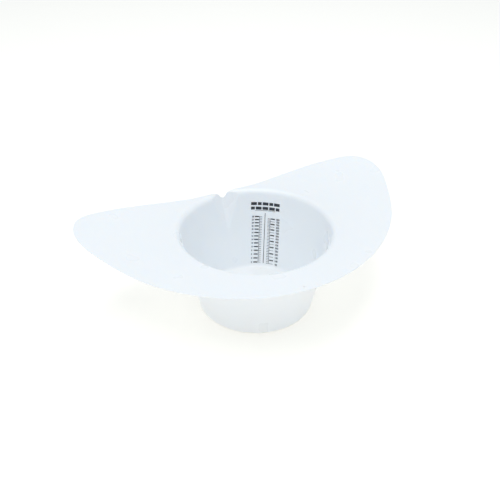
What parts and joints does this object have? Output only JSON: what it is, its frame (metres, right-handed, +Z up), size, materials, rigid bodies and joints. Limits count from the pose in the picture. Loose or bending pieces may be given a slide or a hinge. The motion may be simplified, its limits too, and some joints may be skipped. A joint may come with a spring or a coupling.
{
  "type": "toilet hat specimen collector",
  "caption": "Wide-brimmed plastic hat-shaped bowl that sits under a toilet seat to collect and measure urine or stool, with a V spout and a printed volume scale.",
  "frame": {"origin": "centre of the flat base, where the bowl's axis meets the surface it stands on", "axes": "+Z up along the bowl's axis; +Y towards the pouring spout at the back; +X towards the wing on the right, seen from the front"},
  "size_m": [0.3496, 0.2066, 0.1052],
  "materials": {
    "shell_plastic": "smooth moulded polypropylene, pale bluish white, faintly translucent, soft gloss",
    "scale_ink": "thin dark blue-black printing ink, flat"
  },
  "bodies": {
    "root": {"collector": "shell_plastic", "printed_scale": "scale_ink"}
  },
  "joints": []
}
